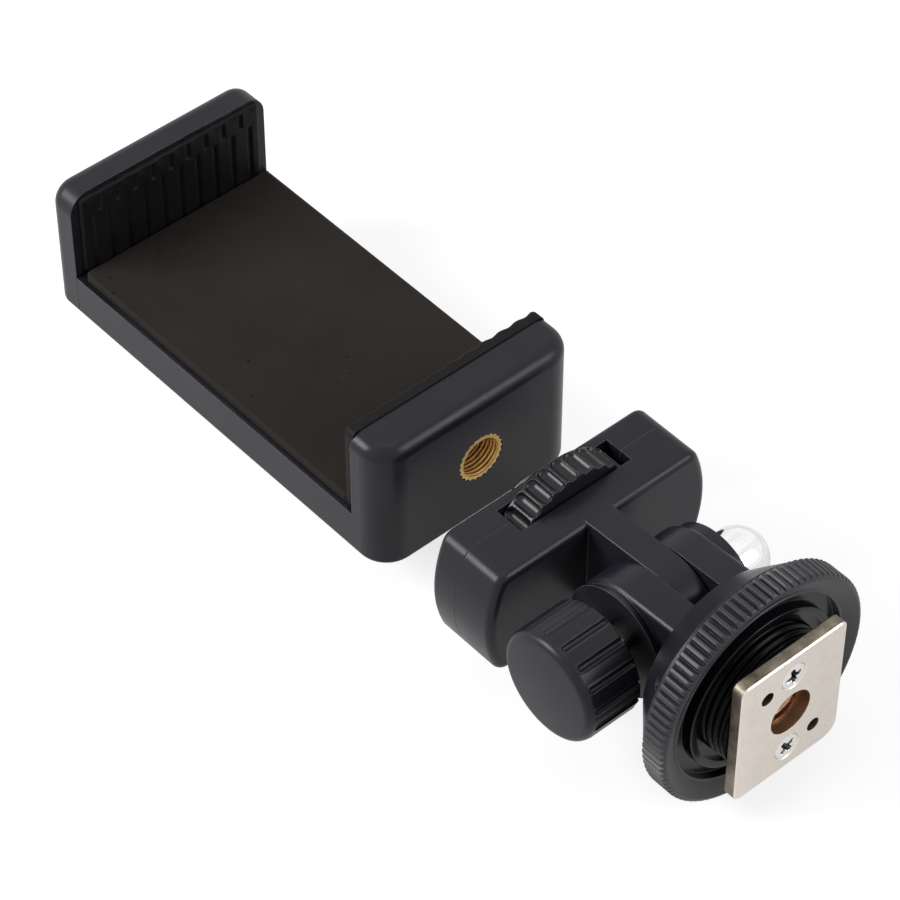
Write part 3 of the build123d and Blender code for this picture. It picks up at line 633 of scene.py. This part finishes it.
standFor(makeNearPad(nearPad), "padRubber", "fixed_jaw_pad")
standFor(makeFarPad(farPad), "padRubber", "sliding_jaw_pad")
print("pads made")


# Lock ring: one tooth is made here, and a node tree repeats it round the axis

lockRing = {"teeth": 90, "rise": 0.6, "crest": 0.38, "frontRound": 0.85, "backRound": 0.2,
            "opening": 14.5, "openingRound": 0.22, "web": 52.6, "hub": 12.6, "hubFront": 54.2,
            "step": 11.4, "stepFloor": 53.5, "bore": 10.06, "backRadius": 16.2, "slices": 10,
            "rounds": (0.15, 0.1, 0.18, 0.08, 0.08, 0.06, 0.1), "bandSteps": 6}


def roundCorner(before, corner, after, radius, parts=4):
    # Points of an arc that rounds one corner of a section.
    corner = Vector(corner)
    toBefore, toAfter = (Vector(before) - corner).normalized(), (Vector(after) - corner).normalized()
    turn = toBefore.angle(toAfter)
    reach = radius / math.tan(turn / 2)
    centre = corner + (toBefore + toAfter).normalized() * radius / math.sin(turn / 2)
    first, last = corner + toBefore * reach - centre, corner + toAfter * reach - centre
    sweep = first.angle(last)
    return [tuple(centre + (first * math.sin(sweep * (1 - i / parts)) + last * math.sin(sweep * i / parts))
                  / math.sin(sweep)) for i in range(parts + 1)]


def roundedSection(corners):
    # A closed section from (x, radius, rounding) corners.
    section = []
    for index, (x, radius, rounding) in enumerate(corners):
        before, after = corners[index - 1], corners[(index + 1) % len(corners)]
        if rounding:
            section += roundCorner(before[:2], (x, radius), after[:2], rounding)
        else:
            section.append((x, radius))
    return section


def makeRingTooth(look):
    low, high = boxInMm("lock_ring")
    back, front, tip = low.x, high.x, high.y
    places = [(look["web"], look["opening"]), (look["web"], look["hub"]), (look["hubFront"], look["hub"]),
              (look["hubFront"], look["step"]), (look["stepFloor"], look["step"]),
              (look["stepFloor"], look["bore"]), (back, look["bore"])]
    inner = roundedSection([(front, look["opening"], look["openingRound"])]
                           + [(*place, rounding) for place, rounding in zip(places, look["rounds"])]
                           + [(back, look["backRadius"], 0)])[:-1]
    bandStart, bandEnd = back + look["backRound"], front - look["frontRound"]
    steps = look["bandSteps"]
    band = [back + look["backRound"] * (1 - math.cos(math.pi / 2 * i / 3)) for i in range(3)]
    band += [bandStart + (bandEnd - bandStart) * i / steps for i in range(steps + 1)]
    band += [bandEnd + look["frontRound"] * math.sin(math.pi / 2 * i / 10) for i in range(1, 11)]
    rimAt = {x: tip - (roundOver(x - back, look["backRound"]) if x < bandStart else 0.0)
             - (roundOver(front - x, look["frontRound"]) if x > bandEnd else 0.0) for x in band}
    points = []
    for cut in range(look["slices"] + 1):
        share = cut / look["slices"]
        away = abs(2 * share - 1)                       # 0 on the crest, 1 in the groove
        fall = max(0.0, (away - look["crest"]) / (1 - look["crest"]))
        tooth = tip - look["rise"] * fall
        section = [(x, min(rimAt[x], tooth)) for x in band] + inner
        points += spun(section, math.radians(360 / look["teeth"]) * (share - 0.5))
    return points, stripFaces(look["slices"], len(section))


def makeRepeatTree():
    # Node tree that repeats a mesh by equal turns and welds the copies.
    tree = bpy.data.node_groups.new("repeatRound", "GeometryNodeTree")
    face = tree.interface
    face.new_socket("Geometry", in_out="INPUT", socket_type="NodeSocketGeometry")
    sockets = {"Count": ("NodeSocketInt", 12), "Turn": ("NodeSocketVector", (0, 0, 0)),
               "Weld Distance": ("NodeSocketFloat", 0.01 * mm), "Material": ("NodeSocketMaterial", None)}
    for label, (kind, value) in sockets.items():
        socket = face.new_socket(label, in_out="INPUT", socket_type=kind)
        if value is not None:
            socket.default_value = value
    face.new_socket("Geometry", in_out="OUTPUT", socket_type="NodeSocketGeometry")
    given = tree.nodes.new("NodeGroupInput").outputs
    copies = addNode(tree, "GeometryNodePoints", Count=given["Count"])
    order = tree.nodes.new("GeometryNodeInputIndex")
    turns = tree.nodes.new("ShaderNodeVectorMath")
    turns.operation = "SCALE"
    tree.links.new(given["Turn"], turns.inputs[0])
    tree.links.new(order.outputs[0], turns.inputs["Scale"])
    placed = addNode(tree, "GeometryNodeInstanceOnPoints", Points=copies.outputs[0],
                     Instance=given["Geometry"], Rotation=turns.outputs[0])
    real = addNode(tree, "GeometryNodeRealizeInstances", Geometry=placed.outputs[0])
    welded = addNode(tree, "GeometryNodeMergeByDistance", Geometry=real.outputs[0],
                     Distance=given["Weld Distance"])
    finished = addNode(tree, "GeometryNodeSetMaterial", Geometry=welded.outputs[0],
                       Material=given["Material"])
    result = tree.nodes.new("NodeGroupOutput")
    tree.links.new(finished.outputs[0], result.inputs[0])
    return tree


repeatRound = makeRepeatTree()


sectorMerge = 0.001             # mm, within one sector
weldGap = 0.003                 # mm, between neighbouring copies


def repeatPiece(name, points, faces, count, axis, finish, centre=(0, 0, 0), sharpAngle=plainAngle):
    # Repeats a sector round an axis through the origin, gives one plain mesh and puts it in place.
    work = bmesh.new()
    corners = [work.verts.new(Vector(point) * mm) for point in points]
    for face in faces:
        work.faces.new([corners[index] for index in face])
    bmesh.ops.remove_doubles(work, verts=work.verts, dist=sectorMerge * mm)
    sector = bpy.data.meshes.new(name + "Sector")
    work.to_mesh(sector)
    work.free()
    carrier = bpy.data.objects.new(name + "Sector", sector)
    bpy.context.scene.collection.objects.link(carrier)
    modifier = carrier.modifiers.new("repeatRound", "NODES")
    modifier.node_group = repeatRound
    given = {item.name: item.identifier for item in repeatRound.interface.items_tree
             if item.in_out == "INPUT"}
    modifier[given["Count"]] = count
    modifier[given["Turn"]] = [2 * math.pi / count * part for part in axis]
    modifier[given["Weld Distance"]] = weldGap * mm
    modifier[given["Material"]] = finishes[finish]
    bpy.context.view_layer.update()
    evaluated = carrier.evaluated_get(bpy.context.evaluated_depsgraph_get())
    mesh = bpy.data.meshes.new_from_object(evaluated)
    carrier.modifiers.remove(modifier)
    bpy.data.objects.remove(carrier)
    work = bmesh.new()
    work.from_mesh(mesh)
    bpy.data.meshes.remove(mesh)
    bmesh.ops.translate(work, verts=work.verts, vec=Vector(centre) * mm)
    return meshFromWork(name, work, sharpAngle)


ringPoints, ringFaces = makeRingTooth(lockRing)
lockRingPiece = repeatPiece("knurledLockRing", ringPoints, ringFaces, lockRing["teeth"], (1, 0, 0),
                            "ringPlastic")
standFor(lockRingPiece, "ringPlastic", "lock_ring")
# The inside of the lock ring takes painted shade.
paintShadeInside(lockRingPiece, "paintedShadePlastic", 14.55, 50.9)
print("lock ring made")


# Thumbwheel: one flute with round ends, repeated

thumbwheel = {"flutes": 30, "phase": 7.5, "share": 0.86, "depth": 0.7, "rearGap": -0.22, "frontGap": 0.04,
              "bore": 2.8, "slices": 24, "rim": 0.1, "endStep": 0.11, "endSteps": 11, "middleSteps": 4,
              "web": 1.4, "gather": 0.06, "roundness": 0.55, "sharpAngle": 40}


def makeWheelFlute(look):
    low, high = boxInMm("thumbwheel")
    front, rear, tip = low.x, high.x, high.y
    width = rear - front
    pitch = 2 * math.pi / look["flutes"]
    half = look["share"] * math.pi * tip / look["flutes"]          # half the width of a flute
    ends = [look["rim"] * (1 - math.cos(math.pi / 2 * i / 2)) for i in range(3)]
    ends += [look["rim"] + look["endStep"] * i for i in range(1, look["endSteps"] + 1)]
    steps = look["middleSteps"]
    middle = [ends[-1] + (width - 2 * ends[-1]) * i / steps for i in range(1, steps)]
    along = ends + middle + [width - value for value in reversed(ends)]
    points = []
    for cut in range(look["slices"] + 1):
        share = cut / look["slices"] - 0.5
        turn = pitch * (share + look["gather"] * math.sin(4 * math.pi * share))
        section = []
        for place in along:
            over = max(place - (width - look["rearGap"] - half), look["frontGap"] + half - place, 0.0)
            away = math.hypot(abs(turn) * tip, over) / half
            dent = look["depth"] * (1 - away ** 2) ** look["roundness"] if away < 1 else 0.0
            dent = max(dent, roundOver(min(place, width - place), look["rim"]))
            section.append((front + place, tip - dent))
        section += [(rear, tip - look["web"]), (rear, look["bore"]),
                    (front, look["bore"]), (front, tip - look["web"])]
        points += spun(section, turn + math.radians(look["phase"]))
    return points, stripFaces(look["slices"], len(section))


flutePoints, fluteFaces = makeWheelFlute(thumbwheel)
standFor(repeatPiece("flutedThumbwheel", flutePoints, fluteFaces, thumbwheel["flutes"], (1, 0, 0),
                     "wheelPlastic", sharpAngle=thumbwheel["sharpAngle"]), "wheelPlastic", "thumbwheel")


# Tilt knob: one groove with a round end and raised lips, repeated

tiltKnob = {"grooves": 16, "phase": 11.5, "width": 0.85, "depth": 0.42, "lip": 0.08, "lipWidth": 0.3,
            "start": 1.5, "before": 0.3, "step": 0.12, "steps": 12, "crown": 0.4, "rim": 1.2,
            "backRound": 0.25, "backWall": 1.0, "bore": 4.4, "boreEdge": 0.2, "boreDepth": 6.5,
            "pivotX": 36.1, "sharpAngle": 40}


def makeKnobSector(look):
    low, high = boxInMm("knob")
    face, back, radius = low.y, high.y, (high.x - low.x) / 2
    half = look["width"] / 2
    sector = 2 * math.pi / look["grooves"]
    offsets = [0, 0.3, 0.55, 0.75, 0.9, 1.0, 1.15, 1.35, 1.6, 2.0]          # of half a groove
    turns = [half * value / radius for value in offsets]
    turns += [turns[-1] + (sector / 2 - turns[-1]) * i / 4 for i in range(1, 5)]
    turns = [-value for value in reversed(turns[1:])] + turns
    sphere = (radius ** 2 + look["crown"] ** 2) / (2 * look["crown"])
    flat = radius - look["rim"]
    crown = [flat * i / 9 for i in range(10)]
    profile = [(face + sphere - math.sqrt(sphere ** 2 - reach ** 2), reach) for reach in crown]
    edgeY = profile[-1][0]
    for i in range(1, 9):
        turn = math.pi / 2 * i / 8
        profile.append((edgeY + look["rim"] * (1 - math.cos(turn)), flat + look["rim"] * math.sin(turn)))
    sideStart = profile[-1][0]
    grooveStart = face + look["start"]
    side = [grooveStart - look["before"] + look["step"] * i for i in range(1, look["steps"])]
    side = [value for value in side if value > sideStart + 0.05]
    sideEnd = back - look["backRound"]
    side += [side[-1] + (sideEnd - side[-1]) * i / 5 for i in range(1, 6)]
    bends = [math.pi / 2 * i / 3 for i in range(1, 4)]
    closing = [(sideEnd + look["backRound"] * math.sin(bend), radius - look["backRound"] * (1 - math.cos(bend)))
               for bend in bends]
    bore = [(back, radius - look["backWall"]), (back, look["bore"] + look["boreEdge"]),
            (back - look["boreEdge"], look["bore"]), (back - look["boreDepth"], look["bore"]),
            (back - look["boreDepth"], 0.0)]
    points, faces = [], []
    for turn in turns:
        section = list(profile)
        for y, reach in [(y, radius) for y in side] + closing:
            away = math.hypot(abs(turn) * radius, max(grooveStart + half - y, 0.0))
            drop = 0.0
            if away < half:
                drop = look["depth"] * math.sqrt(1 - (away / half) ** 2)
            elif away < half + look["lipWidth"]:
                drop = -look["lip"] * math.sin(math.pi * (away - half) / look["lipWidth"])
            section.append((y, reach - drop))
        section += bore
        for y, reach in section:
            points.append((reach * math.cos(turn), y, reach * math.sin(turn)))
    count = len(section)
    for cut in range(len(turns) - 1):
        for k in range(count - 1):
            first, second = cut * count + k, (cut + 1) * count + k
            faces.append((first, second, second + 1, first + 1))
    phase = math.radians(look["phase"])
    turned = [(x * math.cos(phase) - z * math.sin(phase), y, x * math.sin(phase) + z * math.cos(phase))
              for x, y, z in points]
    return turned, faces


knobPoints, knobFaces = makeKnobSector(tiltKnob)
standFor(repeatPiece("tiltKnobGrip", knobPoints, knobFaces, tiltKnob["grooves"], (0, 1, 0), "knobPlastic",
                     (tiltKnob["pivotX"], 0, 0), tiltKnob["sharpAngle"]), "knobPlastic", "knob")
print("wheel and knob made")


# Threads: a copy of the CAD piece, with its plain thread wall cut out and a helical one put in

threads = {"slices": 72, "steps": 9, "fade": 0.45, "inset": 0.04, "wallGap": 0.02, "endGap": 0.01,
           "sharpAngle": 34}
flankSharpness = 2.2
threadedPieces = [     # name, node, finish, radius, from x, to x, depth inwards, pitch, shift
    ("clampSocketBush", "clamp_insert", "brass", 3.175, -5.7, 0.0, 0.07, 0.635, -11.4),
    ("shoeBush", "shoe_insert", "bronze", 3.175, 47.4, 57.4, 0.3, 1.27, 0.0),
    ("wheelStud", "thumb_screw", "darkSteel", 3.1, 8.9, 11.5, 0.42, 1.27, 0.0),
    ("forkBaseBody", "fork_base", "adapterPlastic", 10.0, 50.6, 57.4, 0.34, 1.1, 0.0),
]


def threadDepth(x, turn, pitch, shift):
    # Rounded 60 degree thread: 0 on the crest, 1 in the groove.
    share = ((x - shift) / pitch - turn / (2 * math.pi)) % 1.0
    wave = flankSharpness * math.cos(2 * math.pi * share)
    return 0.5 - 0.5 * math.tanh(wave) / math.tanh(flankSharpness)


def threadedPiece(look, name, node, finish, radius, startX, endX, depth, pitch, shift):
    work = bmesh.new()
    work.from_mesh(cadNodes[node].data)
    bmesh.ops.remove_doubles(work, verts=work.verts, dist=mergeGap * mm)
    gap = look["wallGap"]

    def onWall(vertex):
        x, y, z = vertex.co / mm
        return abs(math.hypot(y, z) - radius) < gap and startX - gap < x < endX + gap

    def betweenEnds(face):
        x = face.calc_center_median().x / mm
        return abs(x - startX) > look["endGap"] and abs(x - endX) > look["endGap"]

    wall = [face for face in work.faces
            if all(onWall(vertex) for vertex in face.verts) and betweenEnds(face)]
    bmesh.ops.delete(work, geom=wall, context="FACES")
    rims = [[], []]
    for edge in work.edges:
        if edge.is_boundary:
            rims[0 if edge.verts[0].co.x / mm < (startX + endX) / 2 else 1].append(edge)
    rows = round((endX - startX) / pitch * look["steps"])
    inset = look["inset"]
    rings = []
    for row in range(rows + 1):
        x = startX + inset + (endX - startX - 2 * inset) * row / rows
        fade = smoothStep(min(x - startX, endX - x), 0.0, look["fade"])
        ring = []
        for cut in range(look["slices"]):
            turn = 2 * math.pi * cut / look["slices"]
            reach = radius - depth * fade * threadDepth(x, turn, pitch, shift)
            ring.append(work.verts.new(Vector((x, reach * math.cos(turn), reach * math.sin(turn))) * mm))
        rings.append(ring)
    for row in range(rows):
        for cut in range(look["slices"]):
            after = (cut + 1) % look["slices"]
            work.faces.new((rings[row][cut], rings[row][after], rings[row + 1][after], rings[row + 1][cut]))
    for rim, ring in zip(rims, (rings[0], rings[-1])):
        inRing = set(ring)
        circle = {edge for vertex in ring for edge in vertex.link_edges
                  if edge.verts[0] in inRing and edge.verts[1] in inRing}
        bmesh.ops.bridge_loops(work, edges=rim + list(circle))
    piece = meshFromWork(name, work, look["sharpAngle"])
    keepShading(piece, node)
    return standFor(piece, finish, node)


for row in threadedPieces:
    piece = threadedPiece(threads, *row)
    if row[1] == "fork_base":
        # The thread inside the ring takes painted shade.
        paintShadeInside(piece, "paintedShadeThreadPlastic", 10.3, 50.55)
    print(row[0], "open edges", openEdges(piece))
print("threads made")


# Screws of the shoe plate

plateScrew = {"centres": ((0.0, 7.0, 12.0), (0.0, -7.0, 38.0)), "head": 2.06, "crown": 0.16,
              "sink": 0.12, "rim": 0.14, "headEdge": 0.3, "seat": 1.2, "shank": 1.05, "length": 8.5,
              "point": 0.3, "pointRadius": 0.7, "cross": 1.42, "arm": 0.40, "armWide": 1.15,
              "armTaper": 0.45, "armFlank": (0.75, 1.15), "crossEnd": 0.72, "core": (0.35, 0.75),
              "recess": 0.95, "rings": 26, "slices": 96, "sharpAngle": 50,
              "shadeDepth": 0.16, "shadeRim": 0.95}


def makePlateScrews(look):
    front = boxInMm("shoe_plate")[1].x
    points, faces = [], []
    for centreY, centreZ, twist in look["centres"]:
        base = len(points)
        for ring in range(1, look["rings"] + 1):
            radius = look["head"] * ring / look["rings"]
            for cut in range(look["slices"]):
                turn = 2 * math.pi * cut / look["slices"]
                along = turn - math.radians(twist)
                side = abs((along + math.pi / 4) % (math.pi / 2) - math.pi / 4)
                arm = look["arm"] * (look["armWide"] - look["armTaper"] * radius / look["cross"])
                inArm = 1 - smoothStep(radius * math.sin(side), *[arm * part for part in look["armFlank"]])
                core = 1 - smoothStep(radius, *look["core"])
                ends = 1 - smoothStep(radius, look["cross"] * look["crossEnd"], look["cross"])
                dent = look["recess"] * max(inArm * ends, core)
                dome = look["crown"] * (1 - (radius / look["head"]) ** 2) - look["sink"]
                dome -= roundOver(look["head"] - radius, look["rim"])
                points.append((front + dome - dent, centreY + radius * math.cos(turn),
                               centreZ + radius * math.sin(turn)))
        middle = len(points)
        points.append((front + look["crown"] - look["sink"] - look["recess"], centreY, centreZ))
        tipX = front - look["length"]
        for x, radius in ((front - look["headEdge"], look["head"]), (front - look["seat"], look["shank"]),
                          (tipX + look["point"], look["shank"]), (tipX, look["pointRadius"])):
            for cut in range(look["slices"]):
                turn = 2 * math.pi * cut / look["slices"]
                points.append((x, centreY + radius * math.cos(turn), centreZ + radius * math.sin(turn)))
        tip = len(points)
        points.append((tipX, centreY, centreZ))
        rows = [base + ring * look["slices"] for ring in range(look["rings"])]
        rows += [middle + 1 + ring * look["slices"] for ring in range(4)]
        for cut in range(look["slices"]):
            after = (cut + 1) % look["slices"]
            faces.append((middle, rows[0] + cut, rows[0] + after))
            faces.append((tip, rows[-1] + after, rows[-1] + cut))
            for first, second in zip(rows, rows[1:]):
                faces.append((first + cut, second + cut, second + after, first + after))
    return meshPiece("plateScrews", points, faces, look["sharpAngle"])


def shadeScrews(piece, look):
    # The recess and the rim of each head take the darker finish: painted shade in the cross recess and round
    # the rim of the head.
    piece.data.materials.append(finishes["screwShade"])
    front = boxInMm("shoe_plate")[1].x
    for polygon in piece.data.polygons:
        x, y, z = polygon.center / mm
        radius = min(math.hypot(y - place[0], z - place[1]) for place in look["centres"])
        depth = front + look["crown"] * (1 - (radius / look["head"]) ** 2) - look["sink"] - x
        if depth > look["shadeDepth"] or radius > look["shadeRim"] * look["head"]:
            polygon.material_index = 1


shadeScrews(standFor(makePlateScrews(plateScrew), "zincHead", "shoe_screws"), plateScrew)


# Soft ring that the clamp is screwed against

faceRing = {"inner": 4.0, "slices": 96, "backRound": 0.1, "innerRound": 0.25, "outerRound": 0.3}


def makeFaceRing(look):
    low, high = boxInMm("face_pad")
    section = roundedSection([
        (high.x, look["inner"], look["backRound"]), (low.x, look["inner"], look["innerRound"]),
        (low.x, high.y, look["outerRound"]), (high.x, high.y, look["backRound"])])
    points = []
    for cut in range(look["slices"]):
        points += spun(section, 2 * math.pi * cut / look["slices"])
    return meshPiece("faceRing", points, stripFaces(look["slices"], len(section), look["slices"]))


standFor(makeFaceRing(faceRing), "padRubber", "face_pad")
print("screws and face ring made")


# Floor, world and lamps

studio = {
    "floorSize": 4.0,
    "floorColour": (0.5, 0.5, 0.5),
    "cameraGlow": 0.74,
    "glossyGlow": 0.52,
    "skyAbove": (0.22, 0.22, 0.225),
    "skyBelow": (0.18, 0.18, 0.18),
    "lamps": [     # name, direction from the object, distance, width, height, watts
        ("lampRight", (0.72, 0.45, 0.52), 0.62, 0.30, 0.30, 1.25),
        ("lampLeft", (-0.50, -0.72, 0.50), 0.62, 0.30, 0.30, 3.2),
        ("lampTop", (-0.1, 0.1, 1.0), 0.75, 0.45, 0.45, 0.5),
    ],
}


def seenRay(tree, camera, others):
    # One strength for camera and transmission rays, another for glossy rays, none for the rest.
    path = tree.nodes.new("ShaderNodeLightPath")
    straight = addMath(tree, "MAXIMUM", path.outputs["Is Camera Ray"], path.outputs["Is Transmission Ray"])
    return addMath(tree, "MAXIMUM", addMath(tree, "MULTIPLY", straight, camera),
                   addMath(tree, "MULTIPLY", path.outputs["Is Glossy Ray"], others))


def makeFloor(setup):
    height = cadBox[0][2]
    size = setup["floorSize"]
    mesh = bpy.data.meshes.new("floor")
    mesh.from_pydata([(-size, -size, height), (size, -size, height), (size, size, height),
                      (-size, size, height)], [], [(0, 1, 2, 3)])
    floor = bpy.data.objects.new("floor", mesh)
    bpy.context.scene.collection.objects.link(floor)
    material = bpy.data.materials.new("floorPaper")
    material.use_nodes = True
    tree = material.node_tree
    tree.nodes.clear()
    output = tree.nodes.new("ShaderNodeOutputMaterial")
    diffuse = addNode(tree, "ShaderNodeBsdfDiffuse", Color=(*setup["floorColour"], 1))
    glow = addNode(tree, "ShaderNodeEmission", Strength=seenRay(tree, setup["cameraGlow"], setup["glossyGlow"]))
    both = addNode(tree, "ShaderNodeAddShader", _0=diffuse.outputs[0], _1=glow.outputs[0])
    tree.links.new(both.outputs[0], output.inputs["Surface"])
    mesh.materials.append(material)


def makeWorld(setup):
    world = bpy.data.worlds.new("world")
    bpy.context.scene.world = world
    world.use_nodes = True
    tree = world.node_tree
    tree.nodes.clear()
    output = tree.nodes.new("ShaderNodeOutputWorld")
    direction = addNode(tree, "ShaderNodeTexCoord").outputs["Generated"]
    height = addNode(tree, "ShaderNodeSeparateXYZ", Vector=direction).outputs[2]
    sky = mixColours(tree, spread(tree, height, 0.0, 1.0, 0.0, 0.9),
                     (*setup["skyBelow"], 1), (*setup["skyAbove"], 1))
    shown = mixColours(tree, seenRay(tree, 1.0, 1.0), sky, (1, 1, 1, 1))
    plain = addNode(tree, "ShaderNodeBackground", Color=shown, Strength=1.0)
    tree.links.new(plain.outputs[0], output.inputs["Surface"])


def makeLamps(setup):
    for name, direction, distance, width, depth, watts in setup["lamps"]:
        data = bpy.data.lights.new(name, "AREA")
        data.shape = "RECTANGLE"
        data.size, data.size_y = width, depth
        data.energy = watts
        lamp = bpy.data.objects.new(name, data)
        toward = Vector(direction).normalized()
        lamp.location = toward * distance
        lamp.rotation_mode = "QUATERNION"
        lamp.rotation_quaternion = toward.to_track_quat("Z", "Y")
        bpy.context.scene.collection.objects.link(lamp)


makeFloor(studio)
makeWorld(studio)
makeLamps(studio)
bpy.context.scene.view_settings.view_transform = "Standard"
print("studio made")
